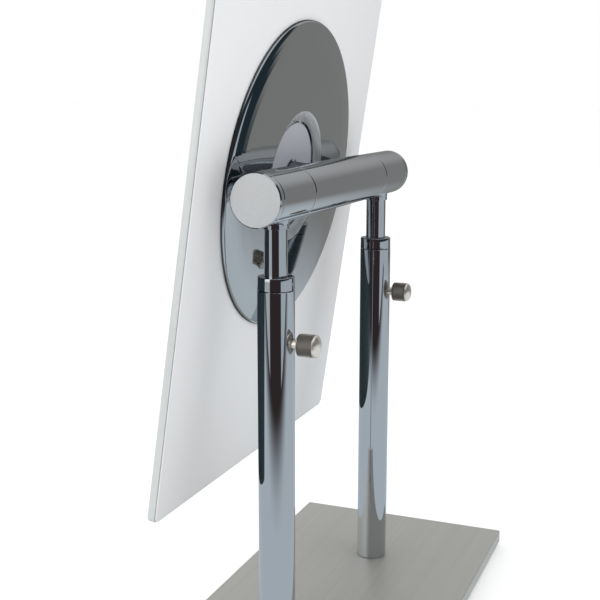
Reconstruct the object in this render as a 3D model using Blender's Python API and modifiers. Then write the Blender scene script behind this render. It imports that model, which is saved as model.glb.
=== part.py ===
"""Extendable shaving mirror on a two-post stand.

Frame: origin at the centre of the underside of the stand, X along the crossbar towards the right-hand
post of a person who looks into the mirror, Y towards the rear and Z up. Lengths are in metres.
"""

import math

import bmesh
import bpy

MM = 0.001
GAP = 0.3 * MM  # clearance left between touching pieces

# Stand
BASE_LENGTH = 300 * MM
BASE_DEPTH = 145 * MM
BASE_THICKNESS = 8 * MM
BASE_CORNER = 1.5 * MM
PAD_THICKNESS = 1.8 * MM
PAD_INSET = 4 * MM
POST_SPACING = 160 * MM
TUBE_RADIUS = 9.5 * MM
TUBE_WALL = 1.5 * MM
COLLAR_HEIGHT = 6.8 * MM
COLLAR_SPIGOT = 6 * MM
BUSH_HEIGHT = 13 * MM
CLAMP_RING_HEIGHT = 15 * MM
PLUG_HEIGHT = 11.5 * MM
TUBE_HOLE_RADIUS = 2.9 * MM  # for the thumbscrew
BASE_SCREW_RADIUS = 2.5 * MM
BASE_SCREW_HEAD_RADIUS = 5 * MM
SCREW_HOLE_RADIUS = 2.8 * MM
COUNTERBORE_RADIUS = 5.3 * MM
COUNTERBORE_DEPTH = 3.5 * MM

# Lift
CROSSBAR_HEIGHT = 253.5 * MM  # of its axis over the base plate, with the posts drawn out a little
COLLAR_DROP = 39.8 * MM  # from the crossbar's axis to the collar's top at rest
ROD_RADIUS = 6 * MM
ROD_BOTTOM = 70 * MM
ROD_GUIDE_HEIGHT = 14 * MM
ROD_BORE_RADIUS = 2.3 * MM  # of the blind bore for the guide's screw
ROD_BORE_DEPTH = 12 * MM
CROSSBAR_RADIUS = 13.5 * MM
CROSSBAR_LENGTH = 209 * MM
SEAM_OFFSET = 59 * MM  # of each seam from the middle of the crossbar
SEAM_WIDTH = 0.6 * MM
CAP_THICKNESS = 4 * MM
CAP_SPIGOT = 4 * MM
CAP_POCKET_RADIUS = 10.3 * MM
CAP_POCKET_START = 88.5 * MM
AXLE_RADIUS = 4 * MM
AXLE_LENGTH = 192 * MM
AXLE_NUT_RADIUS = 6.2 * MM
SOCKET_TOP = 6.5 * MM  # of the rod's socket, below the crossbar's axis

# Mirror head, in its own frame: the crossbar's axis is the pivot and -Y points at the glass
TILT = math.radians(8.6)
SLEEVE_BORE = 10 * MM
STEM_RADIUS = 8.5 * MM
STEM_SPIGOT_RADIUS = 5 * MM
DISC_RADIUS = 86.3 * MM
DISC_SHEET = 1 * MM
DISC_BACK = 25.7 * MM  # from the pivot to the disc's glass side
DISC_FACE = 22 * MM  # from the pivot to the disc's highest ring
RECESS_RADIUS = 38 * MM
RECESS_FLOOR_RADIUS = 33 * MM
GLASS_WIDTH = 235 * MM
GLASS_HEIGHT = 342 * MM
GLASS_THICKNESS = 4 * MM
GLASS_CORNER = 3.5 * MM
BACKING_THICKNESS = 0.5 * MM

# Thumbscrews
SCREW_DROP = 74 * MM  # below the crossbar's axis at rest
SCREW_SHANK_RADIUS = 2.5 * MM
SCREW_TIP = 6.9 * MM  # from the post's axis
SCREW_HEAD_START = 12.4 * MM
SCREW_HEAD_LENGTH = 11.4 * MM
SCREW_HEAD_RADIUS = 6 * MM

FINE = 32  # steps of a turned piece that shows
COARSE = 16  # steps of a small or hidden one
TINY = 12  # steps of a screw
DISC_STEPS = 56

BASE_UNDERSIDE = PAD_THICKNESS + GAP
BASE_TOP = BASE_UNDERSIDE + BASE_THICKNESS
AXIS_HEIGHT = BASE_TOP + CROSSBAR_HEIGHT
COLLAR_TOP = AXIS_HEIGHT - COLLAR_DROP
TUBE_BOTTOM = BASE_TOP + GAP
TUBE_TOP = COLLAR_TOP - COLLAR_HEIGHT - GAP
TUBE_BORE = TUBE_RADIUS - TUBE_WALL
INSERT_RADIUS = TUBE_BORE - GAP
SCREW_HEIGHT = AXIS_HEIGHT - SCREW_DROP
BACKING_REAR = DISC_BACK + GAP
SIDES = {"left": -1, "right": 1}

parts = bpy.data.collections.new("extendable_shaving_mirror")
cutters = bpy.data.collections.new("cutters")
finishes = {}


def clear_scene():
    for item in list(bpy.data.objects):
        bpy.data.objects.remove(item, do_unlink=True)
    bpy.context.scene.collection.children.link(parts)
    bpy.context.scene.collection.children.link(cutters)
    cutters.hide_render = True


def finish(name, colour, roughness, metallic, alpha=1.0):
    """Makes one Principled material and keeps it under its name."""
    material = bpy.data.materials.new(name)
    material.use_nodes = True
    shader = material.node_tree.nodes["Principled BSDF"]
    shader.inputs["Base Color"].default_value = (*colour, 1)
    shader.inputs["Roughness"].default_value = roughness
    shader.inputs["Metallic"].default_value = metallic
    shader.inputs["Alpha"].default_value = alpha
    material.diffuse_color = (*colour, alpha)
    finishes[name] = material


def make_finishes():
    finish("chrome", (0.72, 0.74, 0.77), 0.04, 1.0)
    finish("satin_chrome", (0.66, 0.67, 0.69), 0.25, 1.0)
    finish("brushed_steel", (0.52, 0.51, 0.48), 0.35, 1.0)
    finish("nickel", (0.60, 0.57, 0.53), 0.22, 1.0)
    finish("steel", (0.42, 0.42, 0.43), 0.30, 1.0)
    finish("nylon", (0.86, 0.85, 0.81), 0.50, 0.0)
    finish("rubber", (0.03, 0.03, 0.03), 0.85, 0.0)
    finish("foam_tape", (0.10, 0.10, 0.11), 0.90, 0.0)
    finish("backing_paint", (0.66, 0.67, 0.68), 0.40, 0.0)
    finish("mirror_glass", (0.85, 0.93, 0.90), 0.02, 0.0, 0.35)


def keep(item, name, slot, parent=None, place=(0, 0, 0), turn=(0, 0, 0)):
    """Names an object, gives it its finish and stands it in its parent's frame."""
    item.name = name
    item.data.name = name
    item.data.materials.clear()
    item.data.materials.append(finishes[slot])
    item.parent = parent
    item.location = place
    item.rotation_euler = turn
    for collection in list(item.users_collection):
        collection.objects.unlink(item)
    parts.objects.link(item)
    return item


def pivot(name, place, turn=(0, 0, 0), parent=None):
    """An empty on a joint's axis."""
    item = bpy.data.objects.new(name, None)
    item.empty_display_size = 10 * MM
    item.location = place
    item.rotation_euler = turn
    item.parent = parent
    parts.objects.link(item)
    return item


def arc(centre, radius, start, end, count):
    """Points (across, along) on an arc, with its angles in degrees from the across direction."""
    points = []
    for step in range(count + 1):
        angle = math.radians(start + (end - start) * step / count)
        points.append((centre[0] + radius * math.cos(angle), centre[1] + radius * math.sin(angle)))
    return points


def shade(mesh):
    mesh.shade_smooth()
    mesh.set_sharp_from_angle(angle=math.radians(30))


def bake(item):
    """Turns an object's live modifiers into its mesh."""
    graph = bpy.context.evaluated_depsgraph_get()
    mesh = bpy.data.meshes.new_from_object(item.evaluated_get(graph))
    item.modifiers.clear()
    item.data = mesh
    shade(mesh)


def turned(profile, steps=FINE, closed=False):
    """A profile of (radius, height) points turned about Z. It runs down the piece's outer side."""
    mesh = bpy.data.meshes.new("turned")
    shape = bmesh.new()
    corners = [shape.verts.new((radius, 0, height)) for radius, height in profile]
    for first, second in zip(corners, corners[1:]):
        shape.edges.new((first, second))
    if closed:
        shape.edges.new((corners[-1], corners[0]))
    shape.to_mesh(mesh)
    shape.free()
    item = bpy.data.objects.new("turned", mesh)
    parts.objects.link(item)
    screw = item.modifiers.new("Turn", "SCREW")
    screw.axis = "Z"
    screw.steps = steps
    screw.render_steps = steps
    screw.use_merge_vertices = True
    screw.merge_threshold = 0.00001
    bake(item)
    return item


def rod(radius, bottom, top, chamfer=0.0, steps=FINE):
    """A solid cylinder about Z with its two edges broken."""
    if not chamfer:
        return turned([(0, top), (radius, top), (radius, bottom), (0, bottom)], steps)
    profile = [(0, top), (radius - chamfer, top), (radius, top - chamfer)]
    profile += [(radius, bottom + chamfer), (radius - chamfer, bottom), (0, bottom)]
    return turned(profile, steps)


def ring(outer, inner, bottom, top, chamfer=0.0, steps=FINE):
    """A tube about Z, with the outer edges of its two ends broken."""
    if not chamfer:
        return turned([(outer, top), (outer, bottom), (inner, bottom), (inner, top)], steps, closed=True)
    profile = [(outer - chamfer, top), (outer, top - chamfer), (outer, bottom + chamfer)]
    profile += [(outer - chamfer, bottom), (inner, bottom), (inner, top)]
    return turned(profile, steps, closed=True)


def plate(size_x, size_y, size_z, corner, corner_axis, edge):
    """A box about the origin whose four edges along one axis are rounded and whose rim is chamfered."""
    shape = bmesh.new()
    bmesh.ops.create_cube(shape, size=1.0)
    bmesh.ops.scale(shape, vec=(size_x, size_y, size_z), verts=shape.verts)
    lengthwise = [line for line in shape.edges if abs((line.verts[0].co - line.verts[1].co)[corner_axis]) > 0]
    options = {"affect": "EDGES", "profile": 0.5, "material": -1, "clamp_overlap": True}
    bmesh.ops.bevel(shape, geom=lengthwise, offset=corner, segments=5, **options)
    rim = [line for line in shape.edges if line.calc_face_angle(0) > math.radians(60)]
    if edge:
        bmesh.ops.bevel(shape, geom=rim, offset=edge, segments=1, **options)
    mesh = bpy.data.meshes.new("plate")
    shape.to_mesh(mesh)
    shape.free()
    item = bpy.data.objects.new("plate", mesh)
    parts.objects.link(item)
    shade(mesh)
    return item


def combine(item, tool, place=(0, 0, 0), turn=(0, 0, 0), operation="DIFFERENCE"):
    """Cuts a tool from an object, or joins it on, in the object's own frame. The tool is used up."""
    tool.location = place
    tool.rotation_euler = turn
    parts.objects.unlink(tool)
    cutters.objects.link(tool)
    tool.hide_render = True
    tool.display_type = "WIRE"
    item.location = (0, 0, 0)
    item.rotation_euler = (0, 0, 0)
    change = item.modifiers.new("Combine", "BOOLEAN")
    change.operation = operation
    change.solver = "EXACT"
    change.object = tool
    bpy.context.view_layer.update()
    bake(item)
    bpy.data.objects.remove(tool, do_unlink=True)
    # A second cut needs plain triangles where the first left many-sided faces round its hole.
    shape = bmesh.new()
    shape.from_mesh(item.data)
    bmesh.ops.remove_doubles(shape, verts=shape.verts, dist=0.001 * MM)
    bmesh.ops.triangulate(shape, faces=shape.faces)
    shape.to_mesh(item.data)
    shape.free()
    return item


TO_X = (0, math.radians(90), 0)  # stands a piece turned about Z along +X
TO_MINUS_X = (0, math.radians(-90), 0)
TO_Y = (math.radians(-90), 0, 0)
OVER = 2 * MM  # how far a cutter runs past the wall that it cuts


def make_base():
    """The plate, its pad and, through both, a counterbored hole under each post."""
    base = plate(BASE_LENGTH, BASE_DEPTH, BASE_THICKNESS, BASE_CORNER, 2, 0.5 * MM)
    pad_size = (BASE_LENGTH - 2 * PAD_INSET, BASE_DEPTH - 2 * PAD_INSET, PAD_THICKNESS)
    pad = plate(*pad_size, 3 * MM, 2, 0)
    half = BASE_THICKNESS / 2
    for side in SIDES.values():
        place = (side * POST_SPACING / 2, 0, 0)
        combine(base, rod(SCREW_HOLE_RADIUS, -half - OVER, half + OVER, steps=COARSE), place)
        counterbore = rod(COUNTERBORE_RADIUS, -half - OVER, COUNTERBORE_DEPTH - half, steps=COARSE)
        combine(base, counterbore, place)
        combine(pad, rod(6.5 * MM, -PAD_THICKNESS, PAD_THICKNESS, steps=COARSE), place)
    keep(base, "base_plate", "brushed_steel", place=(0, 0, BASE_UNDERSIDE + half))
    keep(pad, "base_pad", "rubber", place=(0, 0, PAD_THICKNESS / 2))


def make_post(name, side):
    """One fixed outer tube with what is pressed and screwed into it."""
    foot = (side * POST_SPACING / 2, 0, 0)
    tube = ring(TUBE_RADIUS, TUBE_BORE, TUBE_BOTTOM, TUBE_TOP)
    combine(tube, rod(TUBE_HOLE_RADIUS, 0, 2 * TUBE_RADIUS, steps=COARSE), (0, 0, SCREW_HEIGHT), TO_Y)
    keep(tube, f"outer_tube_{name}", "chrome", place=foot)

    plug = ring(INSERT_RADIUS, SCREW_HOLE_RADIUS, TUBE_BOTTOM, TUBE_BOTTOM + PLUG_HEIGHT, steps=COARSE)
    keep(plug, f"tube_plug_{name}", "steel", place=foot)
    head_bottom = BASE_UNDERSIDE + GAP
    head_top = BASE_UNDERSIDE + COUNTERBORE_DEPTH - GAP
    shank_top = TUBE_BOTTOM + PLUG_HEIGHT - 2 * MM
    outline = [(0, shank_top), (BASE_SCREW_RADIUS, shank_top), (BASE_SCREW_RADIUS, head_top)]
    outline += [(BASE_SCREW_HEAD_RADIUS, head_top), (BASE_SCREW_HEAD_RADIUS, head_bottom), (0, head_bottom)]
    keep(turned(outline, COARSE), f"base_screw_{name}", "steel", place=foot)

    bore = ROD_RADIUS + GAP
    below = TUBE_TOP - COLLAR_SPIGOT
    break_edge = 0.5 * MM
    outline = [(bore, COLLAR_TOP), (TUBE_RADIUS - 2 * break_edge, COLLAR_TOP)]
    outline += [(TUBE_RADIUS, COLLAR_TOP - 2 * break_edge), (TUBE_RADIUS, TUBE_TOP + GAP + break_edge / 2)]
    outline += [(TUBE_RADIUS - break_edge / 2, TUBE_TOP + GAP), (INSERT_RADIUS, TUBE_TOP + GAP)]
    outline += [(INSERT_RADIUS, below), (bore, below)]
    keep(turned(outline, FINE, closed=True), f"collar_ring_{name}", "chrome", place=foot)

    bush_top = below - GAP
    bush = ring(INSERT_RADIUS, bore, bush_top - BUSH_HEIGHT, bush_top, steps=COARSE)
    keep(bush, f"guide_bush_{name}", "nylon", place=foot)
    ring_top = SCREW_HEIGHT + CLAMP_RING_HEIGHT / 2
    clamp_ring = ring(INSERT_RADIUS, bore, ring_top - CLAMP_RING_HEIGHT, ring_top, steps=COARSE)
    hole = rod(SCREW_HOLE_RADIUS, 0, 2 * TUBE_RADIUS, steps=COARSE)
    combine(clamp_ring, hole, (0, 0, SCREW_HEIGHT), TO_Y)
    keep(clamp_ring, f"clamp_ring_{name}", "steel", place=foot)


def make_thumbscrew(name, side):
    """A thumbscrew that turns in the clamp ring, and the soft tip that it pushes against the rod."""
    slide = pivot(f"clamp_axis_{name}", (side * POST_SPACING / 2, 0, SCREW_HEIGHT), TO_Y)
    start = SCREW_HEAD_START
    dome = start + SCREW_HEAD_LENGTH
    edge = 0.6 * MM
    outline = [(0, dome - 0.5 * MM), (0.7 * MM, dome)]
    outline += [(SCREW_HEAD_RADIUS * 0.7, dome - 0.8 * MM), (SCREW_HEAD_RADIUS - edge, dome - 1.8 * MM)]
    outline += [(SCREW_HEAD_RADIUS, dome - 2.6 * MM), (SCREW_HEAD_RADIUS, start + edge)]
    outline += [(SCREW_HEAD_RADIUS - edge, start), (SCREW_SHANK_RADIUS, start)]
    outline += [(SCREW_SHANK_RADIUS, SCREW_TIP), (1.8 * MM, SCREW_TIP)]
    outline += [(1.8 * MM, SCREW_TIP + 1.3 * MM), (0, SCREW_TIP + 1.3 * MM)]
    keep(turned(outline, COARSE + 4), f"thumbscrew_{name}", "nickel", slide)
    tip = rod(1.5 * MM, ROD_RADIUS + GAP, SCREW_TIP + 1 * MM, steps=TINY)
    keep(tip, f"clamp_tip_{name}", "nylon", slide)


def make_rod(name, side, lift):
    """One inner rod, with the guide that keeps it central in the outer tube."""
    place = (side * POST_SPACING / 2, 0, -AXIS_HEIGHT)
    top = AXIS_HEIGHT - SOCKET_TOP - GAP
    inner = rod(ROD_RADIUS, ROD_BOTTOM, top, 0.4 * MM)
    combine(inner, rod(ROD_BORE_RADIUS, ROD_BOTTOM - OVER, ROD_BOTTOM + ROD_BORE_DEPTH, steps=TINY))
    keep(inner, f"inner_rod_{name}", "chrome", lift, place)
    guide_top = ROD_BOTTOM - GAP
    guide_bottom = guide_top - ROD_GUIDE_HEIGHT
    guide = ring(INSERT_RADIUS, ROD_BORE_RADIUS, guide_bottom, guide_top, 0.5 * MM, COARSE)
    keep(guide, f"rod_guide_{name}", "nylon", lift, place)
    head_top = guide_bottom - GAP
    outline = [(0, ROD_BOTTOM + 10 * MM), (2 * MM, ROD_BOTTOM + 10 * MM), (2 * MM, head_top)]
    outline += [(4 * MM, head_top), (4 * MM, head_top - 2.4 * MM), (0, head_top - 2.4 * MM)]
    keep(turned(outline, TINY), f"guide_screw_{name}", "steel", lift, place)


def make_crossbar_end(name, side, lift):
    """An end sleeve, which stands on its rod, and what its end cap hides. Pieces run outwards along X."""
    out = TO_X if side > 0 else TO_MINUS_X
    start = SEAM_OFFSET + SEAM_WIDTH / 2
    cap_inner = CROSSBAR_LENGTH / 2 - CAP_THICKNESS
    end = cap_inner - GAP
    sleeve = rod(CROSSBAR_RADIUS, start, end, 0.25 * MM)
    neck = [(0, -9 * MM), (7.8 * MM, -9 * MM), (8.2 * MM, -12.4 * MM), (7.6 * MM, -14.2 * MM)]
    neck += [(7.2 * MM, -16 * MM), (0, -16 * MM)]
    boss_place = (0, 0, POST_SPACING / 2)
    # The sleeve lies along Z here, so the world's down is its own +X or -X.
    down = (0, math.radians(-90 * side), 0)
    combine(sleeve, turned(neck, COARSE + 4), boss_place, down, "UNION")
    combine(sleeve, rod(ROD_RADIUS + GAP, -20 * MM, -SOCKET_TOP), boss_place, down)
    combine(sleeve, rod(AXLE_RADIUS + GAP, start - OVER, end + OVER, steps=COARSE))
    combine(sleeve, rod(CAP_POCKET_RADIUS, CAP_POCKET_START, end + OVER, steps=COARSE))
    grub_drop = 8.2 * MM
    grub_place = (side * grub_drop, 0, 0)
    combine(sleeve, rod(2 * MM, POST_SPACING / 2, end, steps=TINY), grub_place)
    keep(sleeve, f"end_sleeve_{name}", "chrome", lift, turn=out)

    outer = CROSSBAR_LENGTH / 2
    rim = CROSSBAR_RADIUS
    spigot = CAP_POCKET_RADIUS - GAP
    outline = [(0, outer), (rim - 1.6 * MM, outer), (rim - 0.7 * MM, outer - 0.25 * MM)]
    outline += [(rim, outer - 1.1 * MM), (rim, cap_inner + 0.25 * MM), (rim - 0.25 * MM, cap_inner)]
    outline += [(spigot, cap_inner), (spigot, cap_inner - CAP_SPIGOT), (0, cap_inner - CAP_SPIGOT)]
    keep(turned(outline), f"end_cap_{name}", "satin_chrome", lift, turn=out)

    washer_start = CAP_POCKET_START + GAP
    washer_end = washer_start + 1.2 * MM
    washer = ring(AXLE_NUT_RADIUS, AXLE_RADIUS + GAP, washer_start, washer_end, steps=COARSE)
    keep(washer, f"spring_washer_{name}", "steel", lift, turn=out)
    nut = rod(AXLE_NUT_RADIUS, washer_end + GAP, washer_end + 5 * MM, steps=6)
    combine(nut, rod(AXLE_RADIUS + GAP, washer_end - OVER, end + OVER, steps=COARSE))
    keep(nut, f"axle_nut_{name}", "steel", lift, turn=out)
    grub_start = POST_SPACING / 2 + ROD_RADIUS + 2 * GAP
    grub = rod(1.7 * MM, grub_start, grub_start + 5 * MM, 0.2 * MM, TINY)
    keep(grub, f"rod_grub_screw_{name}", "steel", lift, (0, 0, -grub_drop), out)


def make_lift():
    lift = pivot("lift_origin", (0, 0, AXIS_HEIGHT))
    for name, side in SIDES.items():
        make_rod(name, side, lift)
        make_crossbar_end(name, side, lift)
    axle = rod(AXLE_RADIUS, -AXLE_LENGTH / 2, AXLE_LENGTH / 2, 0.5 * MM, COARSE)
    keep(axle, "axle", "steel", lift, turn=TO_X)
    return lift


def disc_profile():
    """The pressed disc's section, as (radius, height) with height towards the pivot."""
    floor = -DISC_BACK + DISC_SHEET
    face = -DISC_FACE
    shoulder = 2.2 * MM
    outside = [(0, floor), (RECESS_FLOOR_RADIUS - 1 * MM, floor), (RECESS_FLOOR_RADIUS, floor + 0.3 * MM)]
    outside += arc((RECESS_RADIUS + shoulder, face - shoulder), shoulder, 150, 90, 2)
    outside += [(DISC_RADIUS - 26 * MM, face - 0.3 * MM), (DISC_RADIUS - 3.2 * MM, face - 0.9 * MM)]
    outside += arc((DISC_RADIUS - 1.6 * MM, face - 2.6 * MM), 1.6 * MM, 75, 0, 2)
    outside += [(DISC_RADIUS, -DISC_BACK)]
    inside = [(DISC_RADIUS - DISC_SHEET, -DISC_BACK), (DISC_RADIUS - DISC_SHEET, face - 2.6 * MM)]
    inside += [(DISC_RADIUS - 3.4 * MM, face - 0.9 * MM - DISC_SHEET)]
    inside += [(DISC_RADIUS - 26 * MM, face - 0.3 * MM - DISC_SHEET)]
    inside += [(RECESS_RADIUS + shoulder, face - DISC_SHEET), (RECESS_RADIUS, face - 2.2 * MM)]
    inside += [(RECESS_FLOOR_RADIUS + 1 * MM, -DISC_BACK), (0, -DISC_BACK)]
    return outside + inside


def make_stem(head):
    """The short stem that carries the disc, saddled round the centre sleeve, with its screw."""
    foot = -DISC_BACK + DISC_SHEET + GAP
    stem = rod(STEM_RADIUS, foot, -8 * MM)
    saddle = rod(CROSSBAR_RADIUS + GAP, -20 * MM, 20 * MM)
    combine(stem, saddle, turn=TO_X)
    spigot = rod(STEM_SPIGOT_RADIUS, -18 * MM, -SLEEVE_BORE - GAP, steps=COARSE)
    combine(stem, spigot, operation="UNION")
    combine(stem, rod(SCREW_HOLE_RADIUS, -22 * MM, -8 * MM, steps=TINY))
    keep(stem, "stem", "chrome", head, turn=TO_Y)
    under = -SLEEVE_BORE
    outline = [(0, under + 3 * MM), (4 * MM, under + 3 * MM), (4 * MM, under), (2.5 * MM, under)]
    outline += [(2.5 * MM, -20 * MM), (0, -20 * MM)]
    keep(turned(outline, TINY), "stem_screw", "steel", head, turn=TO_Y)


def make_head(lift):
    """All that tilts: the centre sleeve with its bushes, the stem, the disc and the mirror glass."""
    head = pivot("tilt_axis", (0, 0, 0), (-TILT, 0, 0), lift)
    half = SEAM_OFFSET - SEAM_WIDTH / 2
    sleeve = ring(CROSSBAR_RADIUS, SLEEVE_BORE, -half, half, 0.25 * MM)
    hole = rod(STEM_SPIGOT_RADIUS + GAP, -20 * MM, -5 * MM, steps=COARSE)
    combine(sleeve, hole, turn=TO_Y)
    keep(sleeve, "center_sleeve", "chrome", head, turn=TO_X)
    for name, side in SIDES.items():
        out = TO_X if side > 0 else TO_MINUS_X
        washer_start = half - 2.4 * MM
        bore = AXLE_RADIUS + GAP
        radius = SLEEVE_BORE - GAP
        bush = ring(radius, bore, washer_start - 12 * MM, washer_start - GAP, steps=COARSE)
        keep(bush, f"sleeve_bush_{name}", "nylon", head, turn=out)
        washer = ring(radius, bore, washer_start, half + GAP, steps=COARSE)
        keep(washer, f"friction_washer_{name}", "nylon", head, turn=out)
    make_stem(head)
    keep(turned(disc_profile(), DISC_STEPS), "back_disc", "chrome", head, turn=TO_Y)

    tape_start = -DISC_BACK - GAP / 2
    backing = plate(GLASS_WIDTH - 1 * MM, BACKING_THICKNESS, GLASS_HEIGHT - 1 * MM, GLASS_CORNER, 1, 0)
    backing_middle = -BACKING_REAR - BACKING_THICKNESS / 2
    keep(backing, "mirror_backing", "backing_paint", head, (0, backing_middle, 0))
    glass = plate(GLASS_WIDTH, GLASS_THICKNESS, GLASS_HEIGHT, GLASS_CORNER, 1, 0.6 * MM)
    glass_middle = -BACKING_REAR - BACKING_THICKNESS - GAP - GLASS_THICKNESS / 2
    keep(glass, "mirror_glass", "mirror_glass", head, (0, glass_middle, 0))
    tape = ring(DISC_RADIUS - 6 * MM, RECESS_RADIUS + 8 * MM, tape_start, -DISC_FACE - 2.5 * MM, steps=COARSE)
    keep(tape, "adhesive_ring", "foam_tape", head, turn=TO_Y)


def main():
    clear_scene()
    make_finishes()
    make_base()
    for name, side in SIDES.items():
        make_post(name, side)
        make_thumbscrew(name, side)
    make_head(make_lift())


main()
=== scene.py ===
import math

import bmesh
import bpy
from mathutils import Matrix, Vector


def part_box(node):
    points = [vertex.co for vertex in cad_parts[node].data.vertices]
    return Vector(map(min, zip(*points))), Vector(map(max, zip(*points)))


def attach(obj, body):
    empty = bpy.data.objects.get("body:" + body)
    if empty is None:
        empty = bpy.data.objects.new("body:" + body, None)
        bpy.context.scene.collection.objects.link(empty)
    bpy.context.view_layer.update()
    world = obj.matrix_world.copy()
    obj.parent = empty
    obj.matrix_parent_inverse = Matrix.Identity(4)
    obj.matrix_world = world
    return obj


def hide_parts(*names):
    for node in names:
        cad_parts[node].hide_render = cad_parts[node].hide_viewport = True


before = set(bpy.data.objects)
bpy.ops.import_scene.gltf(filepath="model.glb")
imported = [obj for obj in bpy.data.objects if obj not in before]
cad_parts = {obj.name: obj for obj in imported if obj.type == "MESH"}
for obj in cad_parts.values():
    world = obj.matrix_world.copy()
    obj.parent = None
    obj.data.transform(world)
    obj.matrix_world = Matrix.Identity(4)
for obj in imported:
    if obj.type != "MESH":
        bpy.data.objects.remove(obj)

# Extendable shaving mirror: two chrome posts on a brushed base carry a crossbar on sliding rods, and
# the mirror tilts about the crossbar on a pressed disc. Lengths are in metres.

MM = 0.001
TURN = math.tau
SIDES = {"left": -1, "right": 1}
TILT = math.radians(8.6)  # of the head at rest, with its top to the rear
FINE_STEPS = 192  # round the disc, the largest turned piece
ROUND_STEPS = 128
RING_STEPS = 96
SCREW_STEPS = 64
HOLE_STEPS = 48

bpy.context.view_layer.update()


def middle(node):
    """The middle of a CAD piece's box."""
    low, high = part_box(node)
    return (low + high) / 2


def radius(node):
    """Half of a CAD piece's extent along X: the radius of a piece that stands along Z."""
    low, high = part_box(node)
    return (high.x - low.x) / 2


CROSSBAR = middle("axle")
CAP_LOW, CAP_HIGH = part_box("end_cap_right")
CAP_END = CAP_HIGH.x
BAR_RADIUS = (CAP_HIGH.z - CAP_LOW.z) / 2
TUBE_RADIUS = radius("outer_tube_left")
ROD_RADIUS = radius("inner_rod_left")
POST_X = middle("outer_tube_right").x
GAP = 0.3 * MM  # between pieces that meet
TOUCH = 0.01 * MM  # within which two places are the same
SUPPORTED_FROM = 3 * MM  # the shortest line of a profile that gets its own shading points
SUPPORT_REACH = 0.3 * MM
MIX_A, MIX_B, MIX_RESULT = 6, 7, 2  # a Mix node's colour sockets


# Node trees ------------------------------------------------------------------------------------------


def add_node(tree, kind, inputs=None, **settings):
    """A shader node with its settings and the plain values of its inputs."""
    made = tree.nodes.new(kind)
    for name, value in settings.items():
        setattr(made, name, value)
    for name, value in (inputs or {}).items():
        made.inputs[name].default_value = value
    return made


def chain(tree, *sockets):
    """Links sockets two by two: each output to the input after it."""
    for source, target in zip(sockets[::2], sockets[1::2]):
        tree.links.new(source, target)


def maths(tree, operation, first, second=None):
    """A Math node's output. Each operand is a socket or a number."""
    made = add_node(tree, "ShaderNodeMath", operation=operation)
    for place, value in enumerate((first, second)):
        if isinstance(value, (int, float)):
            made.inputs[place].default_value = value
        elif value is not None:
            tree.links.new(value, made.inputs[place])
    return made.outputs[0]


def smooth_range(tree, start=0.0, end=1.0):
    """A Map Range node that rises smoothly from 0 to 1 between two values."""
    return add_node(tree, "ShaderNodeMapRange", {"From Min": start, "From Max": end},
                    interpolation_type="SMOOTHSTEP")


def new_group(name, inputs, outputs):
    """A shader node group. Inputs are (name, kind, value) and outputs are (name, kind)."""
    tree = bpy.data.node_groups.new(name, "ShaderNodeTree")
    for label, kind, value in inputs:
        socket = tree.interface.new_socket(label, in_out="INPUT", socket_type="NodeSocket" + kind)
        socket.default_value = value
    for label, kind in outputs:
        tree.interface.new_socket(label, in_out="OUTPUT", socket_type="NodeSocket" + kind)
    return tree, tree.nodes.new("NodeGroupInput").outputs, tree.nodes.new("NodeGroupOutput").inputs


def handling_marks():
    """Faint smears left by hands and a cloth: a roughness, a tint and a ripple that change slowly."""
    tree, given, result = new_group(
        "handling_marks",
        [("Vector", "Vector", (0, 0, 0)), ("Scale", "Float", 30.0), ("Clean", "Float", 0.03),
         ("Smeared", "Float", 0.08), ("Tint", "Float", 0.04)],
        [("Roughness", "Float"), ("Shade", "Float"), ("Ripple", "Float")])
    cloud = add_node(tree, "ShaderNodeTexNoise", {"Detail": 5.0, "Roughness": 0.55, "Distortion": 0.6})
    chain(tree, given["Vector"], cloud.inputs["Vector"], given["Scale"], cloud.inputs["Scale"])
    smear = smooth_range(tree, 0.42, 0.72)
    chain(tree, cloud.outputs["Fac"], smear.inputs["Value"],
          given["Clean"], smear.inputs["To Min"], given["Smeared"], smear.inputs["To Max"])
    drop = maths(tree, "MULTIPLY", cloud.outputs["Fac"], given["Tint"])
    chain(tree, smear.outputs["Result"], result["Roughness"],
          maths(tree, "SUBTRACT", 1.0, drop), result["Shade"], cloud.outputs["Fac"], result["Ripple"])
    return tree


def brush_lines():
    """Fine parallel lines from a belt: noise drawn out along one axis by the vector's own scale."""
    tree, given, result = new_group(
        "brush_lines",
        [("Vector", "Vector", (0, 0, 0)), ("Fineness", "Float", 1.0), ("Smooth", "Float", 0.3),
         ("Rough", "Float", 0.45)],
        [("Height", "Float"), ("Shade", "Float"), ("Roughness", "Float")])
    fine = add_node(tree, "ShaderNodeTexNoise", {"Detail": 3.0, "Roughness": 0.6})
    broad = add_node(tree, "ShaderNodeTexNoise", {"Detail": 2.0, "Roughness": 0.5})
    chain(tree, given["Vector"], fine.inputs["Vector"], given["Fineness"], fine.inputs["Scale"],
          given["Vector"], broad.inputs["Vector"],
          maths(tree, "MULTIPLY", given["Fineness"], 0.22), broad.inputs["Scale"])
    both = maths(tree, "ADD", maths(tree, "MULTIPLY", fine.outputs["Fac"], 0.65),
                 maths(tree, "MULTIPLY", broad.outputs["Fac"], 0.35))
    shade = add_node(tree, "ShaderNodeMapRange", {"From Min": 0.35, "From Max": 0.65,
                                                  "To Min": 0.94, "To Max": 1.05})
    rough = add_node(tree, "ShaderNodeMapRange", {"From Min": 0.35, "From Max": 0.65})
    chain(tree, both, result["Height"], both, shade.inputs["Value"], shade.outputs["Result"],
          result["Shade"], both, rough.inputs["Value"], given["Smooth"], rough.inputs["To Min"],
          given["Rough"], rough.inputs["To Max"], rough.outputs["Result"], result["Roughness"])
    return tree


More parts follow.
